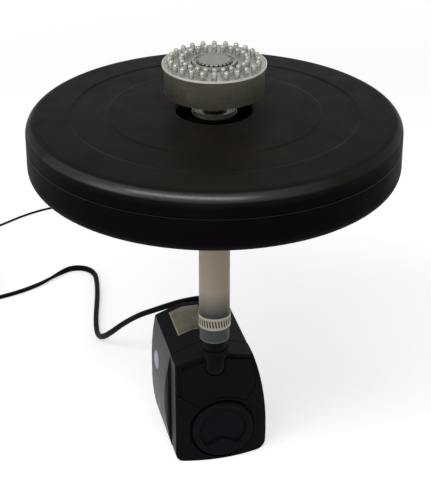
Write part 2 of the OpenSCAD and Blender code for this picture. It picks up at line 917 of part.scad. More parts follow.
// Set down and to the right in its pocket, so that its groove is wide on the upper left. A slot
// lets the outlet pipe stand out through it.
module front_panel() {
    color("black") intersection() {
        along_y(-nose_y - over, joint_y) difference() {
            intersection() {
                panel_area(panel_groove);
                translate([panel_shift, -panel_shift]) panel_field(panel_groove);
            }
            translate([0, pipe_low_z + pipe_r]) circle(r = pipe_r + fit);
            translate([-pipe_r - fit, pipe_low_z + pipe_r]) square([2 * pipe_r + 2 * fit, roof_z]);
        }
        difference() {
            nose_space(panel_t - fit);
            nose_space(0);
        }
    }
}

module motor_casing() {
    case_y = joint_y + seal_t;
    color("black") difference() {
        intersection() {
            along_y(case_y, rear_y) polygon(case_outline(0));
            linear_extrude(height = roof_z + over) polygon(plan_outline());
        }
        along_y(case_y - over, rear_y - pump_wall) polygon(inner_outline(pump_wall));
        translate([cord_x, rear_y + over, cord_z]) rotate([90, 0, 0])
            cylinder(r = power_gland_r + fit, h = pump_wall + 2 * over);
    }
}

// Plan of the motor casing: a small round at the joint line, a larger one at the rear
function plan_corner(x, y, rx, ry, from, to) = [for (k = [0 : 6])
    let (a = from + (to - from) * k / 6) [x + rx * cos(a), y + ry * sin(a)]];

function plan_outline() =
    let (front_y = joint_y + seal_t, step_left = case_left - side_left, lead_in = 2 * step_left)
    concat(
        plan_corner(-side_left, front_y + lead_in, step_left, lead_in, 270, 180),
        plan_corner(-case_left + case_corner, rear_y - case_corner, case_corner, case_corner, 180, 90),
        plan_corner(case_right - case_corner, rear_y - case_corner, case_corner, case_corner, 90, 0),
        [[case_right, front_y]]);

module casing_seal() {
    color("black") along_y(joint_y, joint_y + seal_t) difference() {
        polygon(inner_outline(seal_t));
        polygon(inner_outline(pump_wall));
    }
}

// Flow dial

wedge_apex_drop = 11.5;
wedge_foot_x = 17.2;

module flow_dial() {
    hub_len = strainer_t - 2 * fit;
    round_r = 1.5;
    color("black") translate([rotor_x, dial_back_y, rotor_z]) rotate([90, 0, 0]) difference() {
        union() {
            rotate_extrude() {
                band(0, dial_r, 0, dial_t - round_r);
                band(0, dial_r - round_r, 0, dial_t);
                intersection() {
                    translate([dial_r - round_r, dial_t - round_r]) circle(r = round_r);
                    band(dial_r - round_r, dial_r, dial_t - round_r, dial_t);
                }
            }
            translate([0, 0, -hub_len - dial_gap]) cylinder(r = hub_bore_r, h = hub_len + dial_gap + over);
        }
        translate([0, 0, dial_t - dial_recess_depth]) linear_extrude(height = dial_recess_depth + over)
            difference() {
                circle(r = dial_recess_r);
                polygon([[0, -wedge_apex_drop], [wedge_foot_x, -dial_recess_r + round_r + dial_t / 2],
                    [wedge_foot_x, -dial_recess_r - over], [-wedge_foot_x, -dial_recess_r - over],
                    [-wedge_foot_x, -dial_recess_r + round_r + dial_t / 2]]);
            }
    }
}

// Pump chamber and rotor

module volute_cover() {
    eye_r = 11;
    arm_t = 2;
    ring_r = bush_r + 2;
    color("dimgray") difference() {
        union() {
            difference() {
                rotor_rod(chamber_r + 2 * chamber_wall, cover_y, chamber_y);
                rotor_rod(eye_r, cover_y - over, chamber_y + over);
            }
            rotor_rod(ring_r, cover_y, chamber_y);
            for (i = [0 : 2]) translate([rotor_x, cover_y, rotor_z]) rotate([0, i * 120, 0])
                translate([-arm_t / 2, 0, bush_r + fit]) cube([arm_t, cover_t, eye_r - bush_r]);
        }
        rotor_rod(bush_r + fit, cover_y - over, chamber_y + over);
    }
}

module volute_casing() {
    color("dimgray") difference() {
        union() {
            rotor_rod(chamber_r + 2 * chamber_wall, chamber_y, well_flange_y);
            translate([0, duct_y, rotor_z]) cylinder(r = duct_r, h = duct_top_z - rotor_z);
            translate([0, duct_y, elbow_z]) rotate([90, 0, 0])
                cylinder(r = elbow_r, h = duct_y - spigot_bore_r);
        }
        rotor_rod(chamber_r, chamber_y - over, chamber_back_y);
        rotor_rod(well_bore_r, chamber_back_y - over, well_flange_y + over);
        translate([0, duct_y, rotor_z + chamber_r / 2]) cylinder(r = duct_bore_r,
            h = duct_top_z - pump_wall / 2 - rotor_z - chamber_r / 2);
        translate([0, duct_y, elbow_z]) rotate([90, 0, 0])
            cylinder(r = elbow_bore_r, h = duct_y);
    }
}

module impeller() {
    disc_t = 2;
    disc_y = chamber_back_y - disc_t - chamber_wall;
    blade_h = 9;
    blade_t = 1.5;
    hub = 5.5;
    collar = well_bore_r - 4 * rotor_gap;
    color("white") difference() {
        union() {
            rotor_rod(impeller_r, disc_y, disc_y + disc_t);
            rotor_rod(hub, disc_y - blade_h, disc_y + over);
            rotor_rod(collar, disc_y + disc_t / 2, magnet_y);
            for (i = [0 : blade_count - 1]) translate([rotor_x, disc_y - blade_h, rotor_z])
                rotate([0, i * 360 / blade_count, 0])
                    translate([-blade_t / 2, 0, hub / 2])
                        cube([blade_t, blade_h + disc_t / 2, impeller_r - hub / 2 - blade_t]);
        }
        rotor_rod(shaft_r + fit, disc_y - blade_h - over, magnet_y + over);
    }
}

module rotor_magnet() {
    color("dimgray") difference() {
        rotor_rod(magnet_r, magnet_y, magnet_y + magnet_len);
        rotor_rod(shaft_r + fit, magnet_y - over, magnet_y + magnet_len + over);
    }
}

module rotor_shaft() {
    color("ivory") rotor_rod(shaft_r, shaft_y, shaft_y + shaft_len);
}

module front_bush() {
    color("black") difference() {
        rotor_rod(bush_r, front_bush_y, front_bush_y + bush_t);
        rotor_rod(shaft_r + fit / 2, shaft_y, front_bush_y + bush_t + over);
    }
}

module rear_bush() {
    color("black") difference() {
        rotor_rod(bush_r, rear_bush_y, well_end_y);
        rotor_rod(shaft_r + fit / 2, rear_bush_y - over, shaft_y + shaft_len + fit);
    }
}

module rotor_well() {
    color("dimgray") difference() {
        union() {
            rotor_rod(well_flange_r, well_flange_y, well_flange_y + well_flange_t);
            rotor_rod(well_out_r, well_flange_y, well_end_y + well_wall);
        }
        rotor_rod(well_bore_r, well_flange_y - over, rear_bush_y - rotor_gap / 2);
        rotor_rod(bush_r + fit, well_flange_y, well_end_y);
    }
}

module stator_core() {
    window = core_half_w - leg_w;
    low_z = rotor_z - core_half_w / 2;
    top_z = coil_low_z + coil_h + yoke_h;
    color("gray") along_y(core_y, core_y + core_len) difference() {
        translate([rotor_x - core_half_w, low_z]) square([2 * core_half_w, top_z - low_z]);
        translate([rotor_x - window, low_z - over])
            square([2 * window, top_z - yoke_h - low_z + over]);
        translate([rotor_x, rotor_z]) circle(r = well_out_r + fit);
    }
}

module stator_coils() {
    window = core_half_w - leg_w;
    color("peru") for (side = [-1, 1]) translate([rotor_x + side * (window + leg_w / 2),
            core_y + core_len / 2, coil_low_z + coil_h / 2]) difference() {
        cube([leg_w + 1.6 * coil_t, core_len + 2 * coil_t, coil_h - 2 * fit], center = true);
        cube([leg_w + 2 * fit, core_len + 2 * fit, coil_h + over], center = true);
    }
}

module motor_potting() {
    block_y = magnet_y + fit;
    block_end = rear_y - pump_wall - lead_w;
    window = core_half_w - leg_w;
    color("black") difference() {
        along_y(block_y, block_end) polygon(inner_outline(pump_wall + fit));
        along_y(core_y - fit, core_y + core_len + fit)
            translate([rotor_x - core_half_w - fit, rotor_z - core_half_w / 2 - fit])
                square([2 * core_half_w + 2 * fit, coil_low_z + coil_h + yoke_h - rotor_z
                    + core_half_w / 2 + 2 * fit]);
        translate([rotor_x, core_y + core_len / 2, coil_low_z + coil_h / 2])
            cube([2 * window + 2 * leg_w + 1.6 * coil_t + 2 * fit, core_len + 2 * coil_t + 2 * fit,
                coil_h], center = true);
        rotor_rod(well_out_r + fit, block_y - over, well_end_y + well_wall + fit);
    }
}

// Mains lead

cord_x = 34;
cord_z = 105;
power_gland_r = 6;
power_flange_r = 8;
power_flange_t = 2;
relief_len = 20;
cord_y = rear_y + power_flange_t + relief_len;

module power_gland() {
    tip_w = 1.15;
    color("black") translate([cord_x, rear_y, cord_z]) rotate([-90, 0, 0]) rotate_extrude()
        polygon([[0, -pump_wall], [power_gland_r, -pump_wall], [power_gland_r, 0],
            [power_flange_r, 0], [power_flange_r, power_flange_t],
            [power_gland_r, power_flange_t + power_flange_t],
            [tip_w * lead_w / 2, power_flange_t + relief_len], [0, power_flange_t + relief_len]]);
}

// Rounds each lead: the path's points, then its direction at each of them
function unit(v) = v / norm(v);
function heading(path, i) =
    let (last = len(path) - 1)
    i == 0 ? unit(path[1] - path[0])
    : i == last ? unit(path[last] - path[last - 1])
    : unit(unit(path[i] - path[i - 1]) + unit(path[i + 1] - path[i]));

// One ring of a lead: its wide side is turned by roll from the horizontal
function lead_ring(centre, dir, roll, half_w, half_t, sides) =
    let (flat = abs(dir[2]) > 0.999 ? [1, 0, 0] : unit(cross([0, 0, 1], dir)),
         rise = cross(dir, flat),
         wide = cos(roll) * flat + sin(roll) * rise,
         thin = cross(dir, wide))
    [for (k = [0 : sides - 1]) let (a = (k + 0.5) * 360 / sides)
        centre + half_w * cos(a) * wide + half_t * sin(a) * thin];

module swept(rings) {
    sides = len(rings[0]);
    count = len(rings);
    points = [for (ring = rings) each ring];
    walls = [for (i = [0 : count - 2], k = [0 : sides - 1])
        let (a = i * sides + k, b = i * sides + (k + 1) % sides)
        each [[a, a + sides, b], [b, a + sides, b + sides]]];
    first_cap = [for (k = [1 : sides - 2]) [0, k, k + 1]];
    last_cap = [for (k = [1 : sides - 2]) let (z = (count - 1) * sides) [z, z + k + 1, z + k]];
    polyhedron(points = points, faces = concat(walls, first_cap, last_cap), convexity = 10);
}

// Route of the mains lead: place, then the roll of its wide side
power_route = [
    [34, 142, 105.3, 0], [32.5, 149, 106.2, 0], [28, 155, 107.3, 0], [19, 159.5, 107.8, 0],
    [7, 161.5, 106.2, 0], [-6, 165, 102.5, 0], [-19, 171, 96, 0], [-32, 180.5, 87, 0],
    [-44, 194, 75.5, 0], [-54, 209, 61.5, 0], [-63, 224, 46.5, 5], [-71, 238, 31.5, 15],
    [-78, 253, 17.5, 35], [-82, 268, 8.5, 60], [-83, 284, 4.4, 80], [-81.5, 303, 3.7, 90],
    [-78, 326, 3.7, 90], [-73, 352, 3.7, 90], [-68, 378, 3.7, 90], [-64, 404, 3.7, 90],
    [-62, 424, 3.7, 90], [-62, 436, 3.7, 90], [-65, 447, 3.7, 90], [-71.5, 455.5, 3.7, 90],
    [-81, 460, 3.7, 90], [-92, 459.5, 3.7, 85], [-104, 453, 3.4, 70], [-118, 443, 2.8, 40],
    [-134, 431.5, 2.2, 10], [-151, 421.5, 2.1, 0], [-169, 413.5, 2.1, 0],
    [-187, 407.5, 2.1, 0], [-204, 402.5, 2.3, 15], [-220, 398, 2.9, 45], [-234, 395, 3.5, 75],
    [-245, 393.3, 3.7, 90], [-254, 393, 3.7, 90]];
power_mouth = [[cord_x, cord_y, cord_z, 0]];
power_path = concat(power_mouth, power_route);

function place(p) = [p[0], p[1], p[2]];
function places(route) = [for (p = route) place(p)];

function free_rings(route, half_w, half_t, sides) =
    let (path = places(route))
    [for (i = [0 : len(route) - 1])
        lead_ring(path[i], heading(path, i), route[i][3], half_w, half_t, sides)];

module power_cord() {
    color("black") swept(free_rings(power_path, lead_w / 2, lead_t / 2, 8));
}

// A stored lead winds in to its innermost turn, climbs a layer and winds out again
function climb(t) = t < -0.25 ? 0 : t > 0.25 ? 1 : (1 - cos((t + 0.25) * 360)) / 2;
function coil_point(centre, inner_r, step, turns, layer_h, t) =
    let (r = inner_r + step * abs(t - turns), a = -90 - 360 * t)
    centre + [r * cos(a), r * sin(a), layer_h * climb(t - turns)];

// Its path starts straight at the end of the free stretch and leaves straight to its end piece
function coil_path(start, inner_r, step, turns, layer_h, lead_out) =
    let (centre = start + [0, inner_r + step * turns, 0],
         end = coil_point(centre, inner_r, step, turns, layer_h, 2 * turns),
         steps = round(48 * turns))
    concat(
        [for (k = [0 : steps]) coil_point(centre, inner_r, step, turns, layer_h, 2 * turns * k / steps)],
        [for (p = lead_out) end + p]);

// Least distance between the surface points of rings that are at least half a turn apart
function least_gap(rings, near) =
    min([for (i = [0 : len(rings) - 13], j = [i + 12 : len(rings) - 1])
        if (norm(rings[i][0] - rings[j][0]) < near)
            min([for (p = rings[i], q = rings[j]) norm(p - q)])]);

power_layer_h = lead_w + lead_step - lead_t;
power_start = place(power_route[len(power_route) - 1]);
plug_drop = plug_t / 2 + fit - power_start[2] - power_layer_h;
power_lead_out = [[0, lead_w, 0, 90], [0, 2 * lead_w, plug_drop / 8, 90],
    [0, 4 * lead_w, plug_drop / 2, 50], [0, 6 * lead_w, 7 * plug_drop / 8, 15],
    [0, 7 * lead_w, plug_drop, 0], [0, 8 * lead_w, plug_drop, 0]];
power_coil_path = coil_path(power_start, lead_inner_r, lead_step, lead_turns, power_layer_h,
    places(power_lead_out));
power_coil_end = power_coil_path[len(power_coil_path) - 1];

function coil_roll(i, count, lead_out) =
    let (k = i - (count - len(lead_out))) k < 0 ? 90 : lead_out[k][3];

function power_coil_rings() = [for (i = [0 : len(power_coil_path) - 1])
    lead_ring(power_coil_path[i], i == 0 ? [-1, 0, 0] : heading(power_coil_path, i),
        coil_roll(i, len(power_coil_path), power_lead_out), lead_w / 2, lead_t / 2, 6)];

module power_coil() {
    rings = power_coil_rings();
    echo(power_coil_least_gap = least_gap(rings, 2 * lead_w));
    color("black") swept(rings);
}

module power_plug() {
    neck_half = 6;
    waist_half = 11;
    face_half = 15;
    color("black") translate(power_coil_end + [0, 0, -plug_t / 2]) linear_extrude(height = plug_t)
        polygon([[-neck_half, 0], [neck_half, 0], [waist_half, 0.35 * plug_len],
            [plug_half_w, 0.65 * plug_len], [plug_half_w, 0.8 * plug_len], [face_half, plug_len],
            [-face_half, plug_len], [-plug_half_w, 0.8 * plug_len], [-plug_half_w, 0.65 * plug_len],
            [-waist_half, 0.35 * plug_len]]);
}

module plug_pins() {
    pin_half = 9.5;
    color("silver") for (side = [-1, 1]) translate(power_coil_end + [side * pin_half, plug_len, 0])
        rotate([-90, 0, 0]) rotate_extrude() {
            band(0, pin_r, 0, pin_len - pin_r);
            intersection() {
                translate([0, pin_len - pin_r]) circle(r = pin_r);
                band(0, pin_r, pin_len - pin_r, pin_len);
            }
        }
}

// Thin lead of the light

thin_mouth = [thin_axis_r * cos(thin_angle), thin_axis_r * sin(thin_angle)];
led_route = [
    [8, 33, 138, 0], [8.3, 37, 134.8, 0], [9, 44, 134.1, 0], [11, 70, 134.1, 0],
    [13.5, 100, 134.1, 0], [14.2, 110, 134.1, 0], [14.5, 115, 133, 0], [14.7, 118, 129.5, 0],
    [15, 118.5, 122, 0], [15, 118.5, 70, 0], [15, 118.5, 20, 0], [15.2, 119.2, 10, 0],
    [15.8, 122, 4.6, 0], [17, 127, 2.2, 0], [19, 134, 1.6, 0], [28, 162, 1.6, 0],
    [41, 200, 1.6, 0], [55, 240, 1.6, 0], [69, 288, 1.6, 0], [83, 343, 1.6, 0],
    [95, 397, 1.6, 0], [104, 448, 1.6, 0], [109, 494, 1.6, 0], [110, 534, 1.6, 0],
    [104, 572, 1.6, 0], [89, 606, 1.6, 0], [64, 633, 1.6, 0], [31, 652, 1.6, 0],
    [-6, 662, 1.6, 0], [-43, 663, 1.6, 0], [-77, 658, 1.6, 0], [-101, 652, 1.6, 0],
    [-120, 644.5, 1.6, 0], [-138, 635, 1.6, 0], [-155, 624, 1.6, 0], [-169, 615, 1.6, 0],
    [-182, 608.5, 1.6, 0], [-193, 605.3, 1.6, 0], [-204, 605, 1.6, 0]];
led_path = concat([
    [thin_mouth[0], thin_mouth[1], light_z - gland_h, 0],
    [thin_mouth[0], thin_mouth[1], float_low_z - low_h, 0],
    [thin_mouth[0], thin_mouth[1], lower_clamp_z, 0],
    [thin_mouth[0] + fit, thin_mouth[1] + 3 * fit, union_top_z + thin_step, 0]], led_route);

module led_cord() {
    color("black") swept(free_rings(led_path, thin_r, thin_r, 8));
}

thin_start = place(led_route[len(led_route) - 1]);
connector_drop = connector_r + fit - thin_start[2] - thin_step;
thin_lead_out = [[0, 2 * thin_r, 0], [0, 5 * thin_r, connector_drop / 4],
    [0, 9 * thin_r, 3 * connector_drop / 4], [0, 12 * thin_r, connector_drop],
    [0, 14 * thin_r, connector_drop]];
led_coil_path = coil_path(thin_start, thin_inner_r, thin_step, thin_turns, thin_step, thin_lead_out);
led_coil_end = led_coil_path[len(led_coil_path) - 1];

function led_coil_rings() = [for (i = [0 : len(led_coil_path) - 1])
    lead_ring(led_coil_path[i], i == 0 ? [-1, 0, 0] : heading(led_coil_path, i), 0,
        thin_r, thin_r, 6)];

module led_coil() {
    rings = led_coil_rings();
    echo(led_coil_least_gap = least_gap(rings, 3 * thin_step));
    color("black") swept(rings);
}

module led_connector() {
    nut_r = connector_r;
    body_r = 0.85 * connector_r;
    color("black") translate(led_coil_end) rotate([-90, 0, 0]) rotate_extrude() polygon([
        [0, 0], [1.3 * thin_r, 0], [0.6 * connector_r, 0.2 * connector_len],
        [body_r, 0.25 * connector_len], [body_r, 0.5 * connector_len],
        [nut_r, 0.52 * connector_len], [nut_r, 0.8 * connector_len],
        [body_r, 0.82 * connector_len], [body_r, connector_len], [0, connector_len]]);
}

nozzle_cap();
nozzle_body();
led_lenses_outer();
led_lenses_inner();
led_face_plate();
led_board();
led_potting();
led_housing();
light_lock_nut();
led_gland();
riser_pipe();
clamp_collar();
collar_gasket();
float_upper();
float_lower();
cable_grommet();
float_washer();
float_lock_nut();
hose_tail();
riser_hose();
upper_clamp_band();
upper_clamp_housing();
upper_clamp_screw();
lower_clamp_band();
lower_clamp_housing();
lower_clamp_screw();
outlet_spigot();
spigot_nut();
spigot_seal();
front_housing();
front_panel();
flow_dial();
volute_cover();
volute_casing();
impeller();
rotor_magnet();
rotor_shaft();
front_bush();
rear_bush();
rotor_well();
stator_core();
stator_coils();
motor_potting();
motor_casing();
casing_seal();
power_gland();
power_cord();
power_coil();
power_plug();
plug_pins();
led_cord();
led_coil();
led_connector();
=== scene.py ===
"""Floating fountain on a pale studio floor. Metres, +Z up, the pump's front faces -Y."""

import json
import math

import bpy
from mathutils import Matrix, Vector


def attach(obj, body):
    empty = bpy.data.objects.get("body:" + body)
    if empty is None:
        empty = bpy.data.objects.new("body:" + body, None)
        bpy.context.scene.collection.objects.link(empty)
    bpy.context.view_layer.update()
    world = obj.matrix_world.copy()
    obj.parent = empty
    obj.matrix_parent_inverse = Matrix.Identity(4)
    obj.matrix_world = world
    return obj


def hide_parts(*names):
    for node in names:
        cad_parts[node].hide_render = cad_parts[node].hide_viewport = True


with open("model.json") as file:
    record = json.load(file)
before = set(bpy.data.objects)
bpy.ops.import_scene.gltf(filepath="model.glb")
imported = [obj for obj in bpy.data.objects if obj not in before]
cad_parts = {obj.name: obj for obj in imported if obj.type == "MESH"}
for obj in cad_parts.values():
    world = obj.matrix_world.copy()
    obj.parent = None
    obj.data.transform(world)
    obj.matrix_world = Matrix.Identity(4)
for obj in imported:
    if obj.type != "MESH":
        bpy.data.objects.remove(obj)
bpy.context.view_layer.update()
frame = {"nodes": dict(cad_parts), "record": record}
nodes = frame["nodes"]
MM = 0.001

# Camera, fitted to the photograph: its place, how far it looks down, and where it faces

IMAGE_HEIGHT = 500
FOCAL_PX = 1563.0
SENSOR = 36.0
CAMERA_AT = Vector((-0.3176, -1.3756, 0.9869))
LOOKS_DOWN = math.radians(27.44)
FACES = math.radians(-13.045)


def add_camera():
    data = bpy.data.cameras.new("camera")
    data.sensor_fit = "VERTICAL"
    data.sensor_width = SENSOR
    data.sensor_height = SENSOR
    data.lens = SENSOR * FOCAL_PX / IMAGE_HEIGHT
    data.clip_start = 0.05
    data.clip_end = 50.0
    camera = bpy.data.objects.new("camera", data)
    bpy.context.scene.collection.objects.link(camera)
    ahead = Vector((-math.sin(FACES) * math.cos(LOOKS_DOWN),
                    math.cos(FACES) * math.cos(LOOKS_DOWN), -math.sin(LOOKS_DOWN)))
    right = Vector((math.cos(FACES), math.sin(FACES), 0.0))
    up = right.cross(ahead)
    turn = Matrix((right, up, -ahead)).transposed().to_4x4()
    camera.matrix_world = Matrix.Translation(CAMERA_AT) @ turn
    bpy.context.scene.camera = camera


# Mesh helpers. A lead stands upright where its direction's level part is shorter than this

UPRIGHT = 0.04


def add_mesh(name, verts, faces, smooth=True):
    mesh = bpy.data.meshes.new(name)
    mesh.from_pydata([tuple(v) for v in verts], [], faces)
    mesh.validate()
    for polygon in mesh.polygons:
        polygon.use_smooth = smooth
    piece = bpy.data.objects.new(name, mesh)
    bpy.context.scene.collection.objects.link(piece)
    return piece


def smooth_path(points, steps):
    """A smooth curve through points of any dimension, with steps between each two."""
    out = []
    last = len(points) - 1
    for i in range(last):
        before, a, b, after = (points[max(i - 1, 0)], points[i], points[i + 1],
                               points[min(i + 2, last)])
        for k in range(steps):
            t = k / steps
            out.append(tuple(0.5 * (2 * q + (r - p) * t + (2 * p - 5 * q + 4 * r - s) * t * t
                                    + (3 * q - p - 3 * r + s) * t ** 3)
                             for p, q, r, s in zip(before, a, b, after)))
    out.append(tuple(points[last]))
    return out


def swept_lead(name, path, section, plump=None):
    """A tube of a closed section of (across, thick) pairs along (x, y, z, roll) points.

    A plump list gives each point's factor on the thickness.
    """
    places = [Vector(p[:3]) for p in path]
    verts = []
    faces = []
    count = len(places)
    sides = len(section)
    for i, p in enumerate(path):
        ahead = (places[min(i + 1, count - 1)] - places[max(i - 1, 0)]).normalized()
        flat = Vector((0, 0, 1)).cross(ahead)
        flat = flat.normalized() if flat.length > UPRIGHT else Vector((1, 0, 0))
        rise = ahead.cross(flat)
        roll = math.radians(p[3])
        wide = math.cos(roll) * flat + math.sin(roll) * rise
        thin = ahead.cross(wide)
        fuller = plump[i] if plump else 1.0
        verts += [places[i] + a * wide + fuller * b * thin for a, b in section]
    for i in range(count - 1):
        for k in range(sides):
            a = i * sides + k
            b = i * sides + (k + 1) % sides
            faces.append((a, b, b + sides, a + sides))
    faces.append(tuple(range(sides - 1, -1, -1)))
    faces.append(tuple((count - 1) * sides + k for k in range(sides)))
    return add_mesh(name, verts, faces)


# Leads, in millimetres. A coil has its turns twice, in an upper and a lower layer

ROUTE_STEPS = 5
END_STEPS = 4
TURN_STEPS = 40
CLIMB_TURNS = 0.25
FLOOR_GAP = 0.05

# The flat mains lead. Between the given points of its route it is drawn fuller, as in the photograph

LEAD_W = 7.2
LEAD_T = 4.0
LEAD_TURNS = 6.625
LEAD_STEP = 4.6
LEAD_INNER = 30.0
LEAD_SIDES = 20
LEAD_CORNERS = 0.8
LEAD_FULL = 1.6
LEAD_FULL_POINTS = (2, 4, 26, 28)
PLUG_T = 13.7

# Its free stretch, as x, y, z and the roll of its wide side in degrees

POWER_ROUTE = [
    (34, 134, 105, 0),
    (34, 142, 105.3, 0), (32.5, 149, 106.2, 0), (28, 155, 107.3, 0), (19, 159.5, 107.8, 0),
    (7, 161.5, 106.2, 0), (-6, 165, 102.5, 0), (-19, 171, 96, 0), (-32, 180.5, 87, 0),
    (-44, 194, 75.5, 0), (-54, 209, 61.5, 0), (-63, 224, 46.5, 5), (-71, 238, 31.5, 15),
    (-78, 253, 17.5, 35), (-82, 268, 8.5, 60), (-83, 284, 4.4, 80), (-81.5, 303, 3.7, 90),
    (-78, 326, 3.7, 90), (-73, 352, 3.7, 90), (-68, 378, 3.7, 90), (-64, 404, 3.7, 90),
    (-62, 424, 3.7, 90), (-62, 436, 3.7, 90), (-65, 447, 3.7, 90), (-71.5, 455.5, 3.7, 90),
    (-81, 460, 3.7, 90), (-92, 459.5, 3.7, 85), (-104, 453, 3.4, 70), (-118, 443, 2.8, 40),
    (-134, 431.5, 2.2, 10), (-151, 421.5, 2.1, 0), (-169, 413.5, 2.1, 0),
    (-187, 407.5, 2.1, 0), (-204, 402.5, 2.3, 15), (-220, 398, 2.9, 45), (-234, 395, 3.5, 75),
    (-245, 393.3, 3.7, 90), (-254, 393, 3.7, 90)]

# The light's round thin lead, which comes down beside the stem

THIN_R = 1.5
THIN_TURNS = 5.625
THIN_STEP = 3.6
THIN_INNER = 9.0
THIN_SIDES = 12
THIN_OUT = 30.0
THIN_ANGLE = math.radians(77)
THIN_X = THIN_OUT * math.cos(THIN_ANGLE)
THIN_Y = THIN_OUT * math.sin(THIN_ANGLE)
CONNECTOR_R = 5.5

LED_ROUTE = [
    (THIN_X, THIN_Y, 417.1, 0), (THIN_X, THIN_Y, 380, 0), (THIN_X, THIN_Y, 312.4, 0),
    (THIN_X, THIN_Y, 240, 0), (THIN_X, THIN_Y, 175, 0), (THIN_X + 0.05, THIN_Y + 0.15, 143.2, 0),
    (8, 33, 138, 0), (8.3, 37, 134.8, 0), (9, 44, 134.1, 0), (11, 70, 134.1, 0),
    (13.5, 100, 134.1, 0), (14.2, 110, 134.1, 0), (14.5, 115, 133, 0), (14.7, 118, 129.5, 0),
    (15, 118.5, 122, 0), (15, 118.5, 70, 0), (15, 118.5, 20, 0), (15.2, 119.2, 10, 0),
    (15.8, 122, 4.6, 0), (17, 127, 2.2, 0), (19, 134, 1.6, 0), (28, 162, 1.6, 0),
    (41, 200, 1.6, 0), (55, 240, 1.6, 0), (69, 288, 1.6, 0), (83, 343, 1.6, 0),
    (95, 397, 1.6, 0), (104, 448, 1.6, 0), (109, 494, 1.6, 0), (110, 534, 1.6, 0),
    (104, 572, 1.6, 0), (89, 606, 1.6, 0), (64, 633, 1.6, 0), (31, 652, 1.6, 0),
    (-6, 662, 1.6, 0), (-43, 663, 1.6, 0), (-77, 658, 1.6, 0), (-101, 652, 1.6, 0),
    (-120, 644.5, 1.6, 0), (-138, 635, 1.6, 0), (-155, 624, 1.6, 0), (-169, 615, 1.6, 0),
    (-182, 608.5, 1.6, 0), (-193, 605.3, 1.6, 0), (-204, 605, 1.6, 0)]


def coil_points(start, inner, step, turns, layer, roll):
    """The stored turns: in to the innermost, up a layer, and out again."""
    centre = (start[0], start[1] + inner + step * turns, start[2])
    points = []
    count = round(2 * turns * TURN_STEPS)
    for k in range(1, count + 1):
        t = 2 * turns * k / count - turns
        part = min(max((t + CLIMB_TURNS) / (2 * CLIMB_TURNS), 0.0), 1.0)
        climb = (1 - math.cos(math.pi * part)) / 2
        r = inner + step * abs(t)
        a = -math.pi / 2 - 2 * math.pi * (t + turns)
        points.append((centre[0] + r * math.cos(a), centre[1] + r * math.sin(a),
                       centre[2] + layer * climb, roll))
    return points


def lead_path(route, inner, step, turns, layer, roll, lead_out):
    free = smooth_path(route, ROUTE_STEPS)
    coil = coil_points(route[-1], inner, step, turns, layer, roll)
    end = coil[-1]
    out = smooth_path([end] + [(end[0] + p[0], end[1] + p[1], end[2] + p[2], p[3])
                               for p in lead_out], END_STEPS)[1:]
    return [(p[0] * MM, p[1] * MM, p[2] * MM, p[3]) for p in free + coil + out]


def add_power_lead():
    layer = LEAD_W + LEAD_STEP - LEAD_T
    drop = PLUG_T / 2 + FLOOR_GAP - POWER_ROUTE[-1][2] - layer
    lead_out = [(0, LEAD_W, 0, 90), (0, 2 * LEAD_W, drop / 8, 90), (0, 4 * LEAD_W, drop / 2, 50),
                (0, 6 * LEAD_W, 7 * drop / 8, 15), (0, 7 * LEAD_W, drop, 0),
                (0, 8 * LEAD_W, drop, 0)]
    path = lead_path(POWER_ROUTE, LEAD_INNER, LEAD_STEP, LEAD_TURNS, layer, 90, lead_out)
    section = []
    for k in range(LEAD_SIDES):
        a = 2 * math.pi * (k + 0.5) / LEAD_SIDES
        across = math.copysign(abs(math.cos(a)) ** LEAD_CORNERS, math.cos(a))
        thick = math.copysign(abs(math.sin(a)) ** LEAD_CORNERS, math.sin(a))
        section.append((LEAD_W / 2 * MM * across, LEAD_T / 2 * MM * thick))
    swells, full, shrinks, flat = (ROUTE_STEPS * k for k in LEAD_FULL_POINTS)
    plump = [1 + (LEAD_FULL - 1) * max(0.0, min(1.0, (i - swells) / (full - swells),
                                                (flat - i) / (flat - shrinks)))
             for i in range(len(path))]
    piece = swept_lead("mains_lead", path, section, plump)
    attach(piece, "fountain")
    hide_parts("power_cord", "power_coil")
    return piece


def add_led_lead():
    drop = CONNECTOR_R + FLOOR_GAP - LED_ROUTE[-1][2] - THIN_STEP
    d = 2 * THIN_R
    lead_out = [(0, d, 0, 0), (0, 2.5 * d, drop / 4, 0), (0, 4.5 * d, 3 * drop / 4, 0),
                (0, 6 * d, drop, 0), (0, 7 * d, drop, 0)]
    path = lead_path(LED_ROUTE, THIN_INNER, THIN_STEP, THIN_TURNS, THIN_STEP, 0, lead_out)
    angles = [2 * math.pi * k / THIN_SIDES for k in range(THIN_SIDES)]
    section = [(THIN_R * MM * math.cos(a), THIN_R * MM * math.sin(a)) for a in angles]
    piece = swept_lead("light_lead", path, section)
    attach(piece, "fountain")
    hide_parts("led_cord", "led_coil")
    return piece


# The pump's roof with its left slope, and the arc that its left side follows, in millimetres

ROOF_Z = 132.5
ROOF_HALF = 13.0
SHOULDER_X = 42.1
SHOULDER_Z = 121.0
SIDE_CENTRE_X = 228.5
SIDE_CENTRE_Z = 61.8
SIDE_R = 277.0

# The two places on it that are left bare: a plate over the roof and a disc on the side

FILM_T = 0.3
FILM_EDGE = 0.2
FILM_LOW = 0.03
PLATE_LEFT, PLATE_RIGHT = -28.0, 4.8
PLATE_FRONT, PLATE_REAR = 52.0, 102.8
RIDGE_HALF = 1.0
DISC_Y, DISC_Z = 77.5, 84.0
DISC_R = 10.0
DISC_WIDER = 1.15
DISC_SIDES = 40


def film_lines(inner):
    """A film's lines with their lifts: its inner ones at full thickness and a low one at either end."""
    low, high = FILM_LOW, FILM_T
    return [(inner[0] - FILM_EDGE, low)] + [(at, high) for at in inner] + [(inner[-1] + FILM_EDGE, low)]


